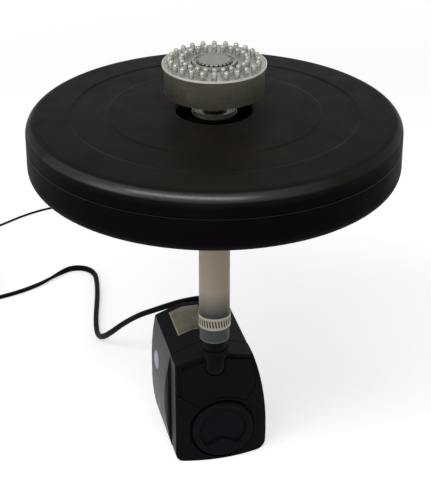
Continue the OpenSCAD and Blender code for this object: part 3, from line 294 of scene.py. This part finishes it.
def add_bare_plate():
    """A blank film over the left roof slope, the ridge and part of the flat roof."""
    slope = (ROOF_Z - SHOULDER_Z) / (SHOULDER_X - ROOF_HALF)
    rows = film_lines([PLATE_LEFT, -24, -20, -16, -ROOF_HALF - RIDGE_HALF, -ROOF_HALF + RIDGE_HALF,
                       -8, -3, 2, PLATE_RIGHT])
    columns = film_lines([PLATE_FRONT, 65, 78, 91, PLATE_REAR])
    verts = []
    for x, x_lift in rows:
        beyond = -x - ROOF_HALF
        z = ROOF_Z - slope * max(0.0, beyond)
        lean = slope if beyond > RIDGE_HALF else slope / 2 if beyond > -RIDGE_HALF else 0.0
        for y, y_lift in columns:
            lift = min(x_lift, y_lift)
            verts.append(((x - lean * lift) * MM, y * MM, (z + lift) * MM))
    across = len(columns)
    faces = [(i * across + k, (i + 1) * across + k, (i + 1) * across + k + 1, i * across + k + 1)
             for i in range(len(rows) - 1) for k in range(across - 1)]
    piece = add_mesh("bare_plate", verts, faces)
    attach(piece, "fountain")
    return piece


def add_bare_disc():
    """A blank round film on the left side, bowed with it."""
    sides = DISC_SIDES
    rings = [(DISC_R, FILM_LOW), (DISC_R - FILM_EDGE, FILM_T), (DISC_R * 0.6, FILM_T), (DISC_R * 0.2, FILM_T)]
    verts = []
    for ring, lift in rings:
        for k in range(sides):
            a = 2 * math.pi * k / sides
            y = DISC_Y + DISC_WIDER * ring * math.cos(a)
            z = DISC_Z + ring * math.sin(a)
            x = SIDE_CENTRE_X - math.sqrt(SIDE_R ** 2 - (z - SIDE_CENTRE_Z) ** 2) - lift
            verts.append((x * MM, y * MM, z * MM))
    faces = [(i * sides + k, i * sides + (k + 1) % sides, (i + 1) * sides + (k + 1) % sides,
              (i + 1) * sides + k) for i in range(len(rings) - 1) for k in range(sides)]
    faces.append(tuple((len(rings) - 1) * sides + k for k in range(sides)))
    piece = add_mesh("bare_disc", verts, [tuple(reversed(f)) for f in faces])
    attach(piece, "fountain")
    return piece


# Materials

NOISE_LOW = 0.3
NOISE_HIGH = 0.7


def shade(colour, factor):
    return tuple(c * factor for c in colour)


class Surface:
    """A principled material with helpers for the textures that drive it."""

    def __init__(self, name):
        self.material = bpy.data.materials.new(name)
        self.material.use_nodes = True
        self.tree = self.material.node_tree
        self.shader = self.tree.nodes["Principled BSDF"]
        texture = self.tree.nodes.new("ShaderNodeTexCoord")
        self.place = texture.outputs["Object"]
        self.normal = texture.outputs["Normal"]

    def set(self, **values):
        for key, value in values.items():
            self.shader.inputs[key.replace("_", " ")].default_value = value

    def link(self, output, node, key):
        self.tree.links.new(output, node.inputs[key])

    def base(self, output):
        self.link(output, self.shader, "Base Color")

    def rough(self, output):
        self.link(output, self.shader, "Roughness")

    def gloss(self, output):
        self.link(output, self.shader, "Specular IOR Level")

    def noise(self, size_mm, detail, stretch=(1, 1, 1), roughness=0.5):
        mapping = self.tree.nodes.new("ShaderNodeMapping")
        mapping.inputs["Scale"].default_value = stretch
        self.link(self.place, mapping, "Vector")
        noise = self.tree.nodes.new("ShaderNodeTexNoise")
        noise.inputs["Scale"].default_value = 1 / MM / size_mm
        noise.inputs["Detail"].default_value = detail
        noise.inputs["Roughness"].default_value = roughness
        self.link(mapping.outputs[0], noise, "Vector")
        return noise.outputs["Fac"]

    def between(self, value, low, high, start=NOISE_LOW, end=NOISE_HIGH):
        """Maps start to end, where a noise mostly lies, onto low to high, and holds it beyond them."""
        node = self.tree.nodes.new("ShaderNodeMapRange")
        self.link(value, node, "Value")
        for key, number in (("From Min", start), ("From Max", end), ("To Min", low), ("To Max", high)):
            node.inputs[key].default_value = number
        return node.outputs["Result"]

    def colours(self, value, stops):
        ramp = self.tree.nodes.new("ShaderNodeValToRGB")
        self.link(value, ramp, "Fac")
        for element, (at, colour) in zip(ramp.color_ramp.elements, stops):
            element.position = at
            element.color = (*colour, 1.0)
        return ramp.outputs["Color"]

    def mottled(self, colour, noise, slot_shade, light, start=NOISE_LOW, end=NOISE_HIGH):
        """A colour that varies with a noise, from a dark to a light factor."""
        return self.colours(noise, [(start, shade(colour, slot_shade)), (end, shade(colour, light))])

    def math(self, operation, *values):
        node = self.tree.nodes.new("ShaderNodeMath")
        node.operation = operation
        for socket, value in zip(node.inputs, values):
            if isinstance(value, (int, float)):
                socket.default_value = value
            else:
                self.tree.links.new(value, socket)
        return node.outputs[0]

    def coordinate(self, key):
        """The object's own x, y or z, in millimetres."""
        node = self.tree.nodes.new("ShaderNodeSeparateXYZ")
        self.link(self.place, node, "Vector")
        return self.math("MULTIPLY", node.outputs[key], 1 / MM)

    def facing(self, key):
        """How far the surface faces along the object's own x, y or z, either way."""
        node = self.tree.nodes.new("ShaderNodeSeparateXYZ")
        self.link(self.normal, node, "Vector")
        return self.math("ABSOLUTE", node.outputs[key])

    def along(self, x_part, y_part):
        """How far a point lies along a level direction, in millimetres."""
        return self.math("ADD", self.math("MULTIPLY", self.coordinate("X"), x_part),
                         self.math("MULTIPLY", self.coordinate("Y"), y_part))

    def radius(self):
        """A point's distance from the upright axis, in millimetres."""
        x = self.coordinate("X")
        y = self.coordinate("Y")
        return self.math("SQRT", self.math("ADD", self.math("MULTIPLY", x, x),
                                           self.math("MULTIPLY", y, y)))

    def band(self, value, low, high, soft):
        """1 where a value lies between two limits, and 0 a soft width outside them."""
        up = self.between(value, 0.0, 1.0, low - soft, low)
        down = self.between(value, 1.0, 0.0, high, high + soft)
        return self.math("MULTIPLY", up, down)

    def mixed(self, factor, one, other):
        """One colour where the factor is 0 and the other where it is 1."""
        node = self.tree.nodes.new("ShaderNodeMix")
        node.data_type = "RGBA"
        for socket, value in ((node.inputs[0], factor), (node.inputs[6], one), (node.inputs[7], other)):
            if isinstance(value, tuple):
                socket.default_value = (*value, 1.0)
            else:
                self.tree.links.new(value, socket)
        return node.outputs[2]

    def bump(self, *layers):
        """Each layer is a height output and the depth of its relief in millimetres."""
        normal = None
        for height, depth in layers:
            node = self.tree.nodes.new("ShaderNodeBump")
            node.inputs["Distance"].default_value = depth * MM
            self.link(height, node, "Height")
            if normal is not None:
                self.link(normal, node, "Normal")
            normal = node.outputs["Normal"]
        self.link(normal, self.shader, "Normal")


# Plastics. A zone is its low and high limit and the soft width outside them, in millimetres

# The float: its crown, painted paler than its sides as light from above, its rounded edge, which shines most
# where it faces front, and its lip

CROWN_Z = (397.0, 430.0, 9.0)
EDGE_R = (179.0, 190.0, 2.0)
EDGE_Z = (396.0, 401.0, 2.0)
EDGE_FACES = (-0.42, -0.91)
EDGE_FROM, EDGE_FULL = 118.0, 174.0
EDGE_REST = 0.08
LIP_R = (183.0, 190.0, 0.5)
LIP_Z = (378.7, 379.2, 0.25)
EDGE_GLOSS, LIP_GLOSS, SIDE_GLOSS, CROWN_GLOSS = 0.36, 0.10, 0.010, 0.018
EDGE_SMOOTHER = 0.22

# The pump: how far a side's normal turns sideways, and where the painted light on its sides starts and is
# full

PUMP_SIDE_FROM, PUMP_SIDE_FULL = 0.6, 0.85
PUMP_FRONT_Y, PUMP_LIT_Y = 5.0, 42.0
PUMP_FRONT_LIGHT = 0.12
PUMP_PAINTED_LIGHT = 4.2
PUMP_GLOSS, PUMP_LIT_GLOSS = 0.02, 0.085


def moulded_plastic(name, colour, roughness, specular, grain=0.5, relief=0.03, mottle=0.2):
    s = Surface(name)
    s.base(s.mottled(colour, s.noise(60, detail=4), 1 - mottle, 1 + mottle))
    s.rough(s.between(s.noise(25, detail=5), roughness - 0.05, roughness + 0.07))
    s.bump((s.noise(grain, detail=2), relief), (s.noise(18, detail=2), relief * 2))
    s.set(Specular_IOR_Level=specular)
    return s.material


def float_plastic(name, side, top):
    """Grained black plastic with painted light on top, where its crown is paler than its sides, glossier on
    the front of its edge and the parting line's lip.
    """
    s = Surface(name)
    r = s.radius()
    z = s.coordinate("Z")
    crown = s.band(z, *CROWN_Z)
    patchy_noise = s.noise(60, detail=4)
    # Painted light: the crown takes the paler top colour, standing in for light falling from above
    s.base(s.mixed(crown, s.mottled(side, patchy_noise, 0.8, 1.2), s.mottled(top, patchy_noise, 0.75, 1.25)))
    edge = s.math("MULTIPLY", s.band(r, *EDGE_R), s.band(z, *EDGE_Z))
    edge = s.math("MULTIPLY", edge, s.between(s.along(*EDGE_FACES), EDGE_REST, 1.0, EDGE_FROM, EDGE_FULL))
    lip = s.math("MULTIPLY", s.band(r, *LIP_R), s.band(z, *LIP_Z))
    shine = s.math("ADD", s.math("MULTIPLY", edge, EDGE_GLOSS), s.math("MULTIPLY", lip, LIP_GLOSS))
    s.gloss(s.math("ADD", shine, s.between(crown, SIDE_GLOSS, CROWN_GLOSS, 0.0, 1.0)))
    s.rough(s.math("SUBTRACT", s.between(s.noise(25, detail=5), 0.42, 0.54),
                   s.math("MULTIPLY", edge, EDGE_SMOOTHER)))
    s.bump((s.noise(0.5, detail=2), 0.02), (s.noise(22, detail=2), 0.05))
    return s.material


def pump_plastic(name, colour):
    """Black plastic with painted light on the two side faces, paler and glossier towards the rear."""
    s = Surface(name)
    side = s.math("MULTIPLY", s.between(s.facing("X"), 0.0, 1.0, PUMP_SIDE_FROM, PUMP_SIDE_FULL),
                  s.between(s.coordinate("Y"), PUMP_FRONT_LIGHT, 1.0, PUMP_FRONT_Y, PUMP_LIT_Y))
    patchy_noise = s.noise(16, detail=6, roughness=0.65)
    # Painted light: a paler copy of the colour on the side faces, standing in for light falling on them
    painted_light = shade(colour, PUMP_PAINTED_LIGHT)
    s.base(s.mixed(side, s.mottled(colour, s.noise(60, detail=4), 0.8, 1.2),
                   s.mottled(painted_light, patchy_noise, 0.6, 1.5, 0.35, 0.65)))
    s.gloss(s.between(side, PUMP_GLOSS, PUMP_LIT_GLOSS, 0.0, 1.0))
    s.rough(s.between(patchy_noise, 0.34, 0.46))
    s.bump((s.noise(0.4, detail=2), 0.03), (s.noise(18, detail=2), 0.05))
    return s.material


# Metals

# The width and softness of a painted highlight, a brighter rim on a dull metal
RIM_WIDTH, RIM_SOFT = 10.0, 0.4
TURNED_GRAIN = (1, 1, 4)

# The clamps' strips with their slots, and each clamp's height and its housing's angle in degrees

BAND_SLOTS = 34
SLOT_LEAN = math.radians(8)
SLOT_HALF, SLOT_SOFT = 3.8, 0.5
BAND_R = 17.0
LOWER_CLAMP_Z, LOWER_CLAMP_ANGLE = 175, 77
UPPER_CLAMP_Z, UPPER_CLAMP_ANGLE = 305, 200


def metal(name, colour, roughness, stretch=(1, 1, 1), grain=0.8, metallic=1.0):
    s = Surface(name)
    s.base(s.mottled(colour, s.noise(8, 5, stretch), 0.86, 1.08))
    s.rough(s.between(s.noise(5, 4, stretch), roughness - 0.06, roughness + 0.08))
    s.bump((s.noise(grain, 3, stretch), 0.01))
    s.set(Metallic=metallic)
    return s.material


def rimmed_metal(name, dull, rim_highlight, rim_from, roughness=0.33):
    """Dull metal with a painted highlight: a brighter rim from a radius outwards."""
    s = Surface(name)
    outside = s.band(s.radius(), rim_from, rim_from + RIM_WIDTH, RIM_SOFT)
    s.base(s.mixed(outside, s.mottled(dull, s.noise(7, detail=5), 0.8, 1.15), rim_highlight))
    s.rough(s.between(s.noise(5, detail=4), roughness - 0.06, roughness + 0.08))
    s.bump((s.noise(0.8, detail=3), 0.01))
    s.set(Metallic=1.0)
    return s.material


def slotted_steel(name, colour, angle, mid_z):
    """A clamp's strip with painted shade in leaning slots, and plain steel at its housing's angle in degrees.
    """
    s = Surface(name)
    high = s.math("SUBTRACT", s.coordinate("Z"), mid_z)
    lean = s.math("MULTIPLY", high, math.tan(SLOT_LEAN) / BAND_R)
    around = s.math("ARCTAN2", s.coordinate("Y"), s.coordinate("X"))
    turn = s.math("ADD", around, s.math("SUBTRACT", lean, math.radians(angle)))
    slots = s.between(s.math("COSINE", s.math("MULTIPLY", turn, BAND_SLOTS)), 1.0, 0.0, -0.25, 0.1)
    # Painted shade: the slots are coloured dark where their depth would be shadowed
    slot_shade = s.math("MULTIPLY", slots, s.band(high, -SLOT_HALF, SLOT_HALF, SLOT_SOFT))
    steel = s.mottled(colour, s.noise(8, 5, TURNED_GRAIN), 0.86, 1.08)
    s.base(s.mixed(slot_shade, steel, shade(colour, 0.12)))
    s.rough(s.between(s.noise(5, detail=4), 0.24, 0.38))
    s.bump((s.noise(0.5, detail=3), 0.01))
    s.set(Metallic=1.0)
    return s.material


# Rubber, films, lenses and the hose

PLATE_INSIDE_X = (-26.8, 10.0, 0.5)
PLATE_INSIDE_Y = (53.4, 101.6, 0.5)

# A lens's colour in its middle, and the painted shade at its outline
LENS_MIDDLE = (0.60, 0.59, 0.54)
LENS_OUTLINE_SHADE = (0.035, 0.035, 0.03)

# The hose is cool and ribbed from its lower end up, where the spigot stands in it, and fades to plain

HOSE_END_Z = 152
COOL_FULL_Z, COOL_GONE_Z = 185, 211
RIB_STEP = 2.1
CLAMP_SHADOW = 3.4


def rubber(name, colour, roughness, specular=0.1):
    s = Surface(name)
    s.base(s.mottled(colour, s.noise(12, detail=4), 0.75, 1.35))
    s.rough(s.between(s.noise(6, detail=4), roughness - 0.08, roughness + 0.08))
    s.bump((s.noise(0.8, detail=3), 0.02), (s.noise(7, detail=2), 0.05))
    s.set(Specular_IOR_Level=specular)
    return s.material


def film(name, colour, roughness, border=None, inside_x=None, inside_y=None):
    """A blank film. A border shows outside the zones of x and y, if it has one."""
    s = Surface(name)
    face = s.mottled(colour, s.noise(14, detail=5), 0.8, 1.15)
    if border:
        inside = s.math("MULTIPLY", s.band(s.coordinate("X"), *inside_x),
                        s.band(s.coordinate("Y"), *inside_y))
        face = s.mixed(inside, border, face)
    s.base(face)
    s.rough(s.between(s.noise(6, detail=4), roughness - 0.08, roughness + 0.1))
    s.bump((s.noise(9, detail=3), 0.05))
    s.set(Specular_IOR_Level=0.3)
    return s.material


def clear_lens(name):
    """Clear resin with painted shade towards each dome's outline, under a glossy skin."""
    s = Surface(name)
    facing = s.tree.nodes.new("ShaderNodeLayerWeight")
    facing.inputs["Blend"].default_value = 0.35
    s.base(s.colours(facing.outputs["Facing"], [(0.15, LENS_MIDDLE), (0.6, LENS_OUTLINE_SHADE)]))
    s.rough(s.between(s.noise(1.5, detail=3), 0.05, 0.12))
    s.bump((s.noise(2.0, detail=2), 0.01))
    s.set(IOR=1.45, Transmission_Weight=0.7, Specular_IOR_Level=0.5, Coat_Weight=1.0, Coat_IOR=2.0,
          Coat_Roughness=0.14)
    return s.material


def translucent_hose(name, warm, cool):
    """Milky hose, cool and ribbed low down, with a paler lower end, and painted shade under its clamps."""
    s = Surface(name)
    z = s.coordinate("Z")
    low = s.between(z, 1.0, 0.0, COOL_FULL_Z, COOL_GONE_Z)
    ribs = s.math("SINE", s.math("MULTIPLY", z, 2 * math.pi / RIB_STEP))
    lines = s.math("MULTIPLY", low, s.between(ribs, 0.0, 1.0, -1.0, 1.0))
    above = s.mottled(warm, s.noise(30, 4, (1, 1, 0.3)), 0.94, 1.05)
    body = s.mixed(low, above, s.mixed(lines, cool, shade(cool, 1.6)))
    body = s.mixed(s.band(z, HOSE_END_Z - 2, HOSE_END_Z + 0.9, 0.8), body, shade(cool, 2.4))
    # Painted shadow on the hose under each clamp's band
    for clamp in (LOWER_CLAMP_Z, UPPER_CLAMP_Z):
        under = s.band(z, clamp - CLAMP_SHADOW, clamp + CLAMP_SHADOW, 0.5)
        body = s.mixed(under, body, shade(cool, 0.35))
    s.base(body)
    s.rough(s.between(s.noise(10, detail=4), 0.32, 0.44))
    s.bump((s.noise(3, 2, (1, 1, 0.15)), 0.03), (lines, 0.06))
    s.set(Transmission_Weight=0.2, IOR=1.2, Specular_IOR_Level=0.2)
    return s.material


# Which recipe each material follows, and which nodes look unlike the rest of their slot

COLOURS = {entry["slot"]: tuple(entry["base_color"][:3]) for entry in frame["record"]["materials"]}
BLACK = (0.006, 0.006, 0.006)
STEEL = (0.28, 0.25, 0.20)

RECIPES = {
    "float_plastic": (float_plastic, dict(side=(0.0026, 0.0020, 0.0028), top=(0.0085, 0.0070, 0.0056))),
    "pump_plastic": (pump_plastic, dict(colour=(0.0052, 0.0052, 0.0062))),
    "panel_plastic": (moulded_plastic, dict(colour=(0.0052, 0.0052, 0.0052), roughness=0.35,
                                            specular=0.02, grain=0.4, relief=0.02)),
    "dial_plastic": (moulded_plastic, dict(colour=(0.0060, 0.0056, 0.0082), roughness=0.4,
                                           specular=0.025, grain=0.4)),
    "inner_plastic": (moulded_plastic, dict(colour=COLOURS["inner_plastic"], roughness=0.5, specular=0.4)),
    "impeller_plastic": (moulded_plastic, dict(colour=COLOURS["impeller_plastic"], roughness=0.45,
                                               specular=0.5, mottle=0.06)),
    "light_metal": (metal, dict(colour=(0.100, 0.094, 0.070), roughness=0.4, stretch=(1, 1, 3))),
    "bright_metal": (metal, dict(colour=(0.34, 0.33, 0.29), roughness=0.32)),
    "plate_metal": (rimmed_metal, dict(dull=(0.31, 0.30, 0.265), rim_highlight=(0.66, 0.65, 0.60),
                                       rim_from=50.15)),
    "collar_metal": (rimmed_metal, dict(dull=(0.05, 0.048, 0.034), rim_highlight=(0.26, 0.25, 0.19),
                                        rim_from=21.3, roughness=0.36)),
    "nozzle_metal": (metal, dict(colour=(0.24, 0.23, 0.205), roughness=0.38)),
    "nozzle_cup": (metal, dict(colour=(0.30, 0.285, 0.245), roughness=0.45, metallic=0.45)),
    "clamp_steel": (metal, dict(colour=STEEL, roughness=0.28, stretch=TURNED_GRAIN, grain=0.5)),
    "upper_band": (slotted_steel, dict(colour=STEEL, angle=UPPER_CLAMP_ANGLE, mid_z=UPPER_CLAMP_Z)),
    "lower_band": (slotted_steel, dict(colour=STEEL, angle=LOWER_CLAMP_ANGLE, mid_z=LOWER_CLAMP_Z)),
    "lens": (clear_lens, {}),
    "board": (moulded_plastic, dict(colour=COLOURS["board"], roughness=0.5, specular=0.4, mottle=0.06)),
    "resin": (moulded_plastic, dict(colour=COLOURS["resin"], roughness=0.5, specular=0.4)),
    "hose_plastic": (translucent_hose, dict(warm=(0.49, 0.425, 0.325), cool=(0.058, 0.068, 0.071))),
    "black_rubber": (rubber, dict(colour=BLACK, roughness=0.6)),
    "cable_rubber": (rubber, dict(colour=(0.002, 0.002, 0.002), roughness=0.45, specular=0.04)),
    "connector_plastic": (moulded_plastic, dict(colour=BLACK, roughness=0.45, specular=0.1)),
    "pin_brass": (metal, dict(colour=COLOURS["pin_brass"], roughness=0.25)),
    "magnet": (moulded_plastic, dict(colour=COLOURS["magnet"], roughness=0.6, specular=0.4)),
    "shaft_ceramic": (moulded_plastic, dict(colour=COLOURS["shaft_ceramic"], roughness=0.2,
                                            specular=0.5, mottle=0.03)),
    "core_iron": (metal, dict(colour=COLOURS["core_iron"], roughness=0.5, stretch=(1, 6, 1))),
    "winding": (moulded_plastic, dict(colour=COLOURS["winding"], roughness=0.4, specular=0.5,
                                      grain=0.6, relief=0.1)),
    "plate_film": (film, dict(colour=(0.135, 0.118, 0.075), roughness=0.5, border=(0.26, 0.24, 0.17),
                              inside_x=PLATE_INSIDE_X, inside_y=PLATE_INSIDE_Y)),
    "disc_film": (film, dict(colour=(0.30, 0.32, 0.35), roughness=0.4)),
}

MADE_OF = {"clamp_collar": "collar_metal", "nozzle_body": "nozzle_cup", "led_face_plate": "plate_metal",
           "upper_clamp_band": "upper_band", "lower_clamp_band": "lower_band"}


def make_materials():
    return {name: recipe(name, **values) for name, (recipe, values) in RECIPES.items()}


def dress_nodes(materials):
    slot_of = {entry["node"]: entry["material_slot"] for entry in frame["record"]["subparts"]}
    for name, node in nodes.items():
        node.data.materials.clear()
        node.data.materials.append(materials[MADE_OF.get(name, slot_of[name])])


# Light, floor and background, in metres, with the glow's distances in millimetres

WHITE = (1, 1, 1, 1)
WORLD_LIGHT = 0.42
FLOOR_COLOUR = (0.74, 0.74, 0.74, 1.0)
FLOOR_HALF = 12.0
FLOOR_BELOW = 0.0002
FLOOR_GLOW = 0.52
GLOW_FROM, GLOW_FULL = 1200.0, 4000.0
LAMPS = {
    "softbox": dict(at=(-0.59, -1.04, 1.73), aim=(-0.04, -0.15, 0.39), size=(2.0, 0.6), power=26.0),
    "left_fill": dict(at=(-2.2, -0.6, 1.2), aim=(0, 0, 0.25), size=(1.2, 1.2), power=10.0),
}


def seen_ray(tree):
    """1 for camera, glossy and transmission rays, which see the background as white."""
    path = tree.nodes.new("ShaderNodeLightPath")
    total = path.outputs["Is Camera Ray"]
    for key in ("Is Glossy Ray", "Is Transmission Ray"):
        node = tree.nodes.new("ShaderNodeMath")
        node.operation = "MAXIMUM"
        tree.links.new(total, node.inputs[0])
        tree.links.new(path.outputs[key], node.inputs[1])
        total = node.outputs[0]
    return total


def add_world():
    world = bpy.data.worlds.new("world")
    bpy.context.scene.world = world
    world.use_nodes = True
    tree = world.node_tree
    background = tree.nodes["Background"]
    background.inputs["Color"].default_value = WHITE
    strength = tree.nodes.new("ShaderNodeMapRange")
    strength.inputs["To Min"].default_value = WORLD_LIGHT
    strength.inputs["To Max"].default_value = 1.0
    tree.links.new(seen_ray(tree), strength.inputs["Value"])
    tree.links.new(strength.outputs[0], background.inputs["Strength"])


def add_floor():
    """A pale floor that glows towards white with the distance, so that it has no horizon."""
    corners = [(-FLOOR_HALF, -FLOOR_HALF, 0), (FLOOR_HALF, -FLOOR_HALF, 0),
               (FLOOR_HALF, FLOOR_HALF, 0), (-FLOOR_HALF, FLOOR_HALF, 0)]
    floor = add_mesh("floor", corners, [(0, 1, 2, 3)], smooth=False)
    floor.location.z = -FLOOR_BELOW
    s = Surface("floor")
    s.set(Base_Color=FLOOR_COLOUR, Roughness=0.9, Specular_IOR_Level=0.0, Emission_Color=WHITE)
    glow = s.between(s.radius(), FLOOR_GLOW, 1.0, GLOW_FROM, GLOW_FULL)
    s.link(s.math("MULTIPLY", seen_ray(s.tree), glow), s.shader, "Emission Strength")
    floor.data.materials.append(s.material)


def add_lamp(name, at, aim, size, power):
    data = bpy.data.lights.new(name, "AREA")
    data.shape = "RECTANGLE"
    data.size, data.size_y = size
    data.energy = power
    lamp = bpy.data.objects.new(name, data)
    bpy.context.scene.collection.objects.link(lamp)
    lamp.location = at
    lamp.rotation_euler = (Vector(aim) - Vector(at)).to_track_quat("-Z", "Y").to_euler()


# The scene

add_camera()
materials = make_materials()
for lead in (add_power_lead(), add_led_lead()):
    lead.data.materials.append(materials["cable_rubber"])
add_bare_plate().data.materials.append(materials["plate_film"])
add_bare_disc().data.materials.append(materials["disc_film"])
dress_nodes(materials)
add_world()
add_floor()
for name, values in LAMPS.items():
    add_lamp(name, **values)

bpy.context.scene.view_settings.view_transform = "Standard"
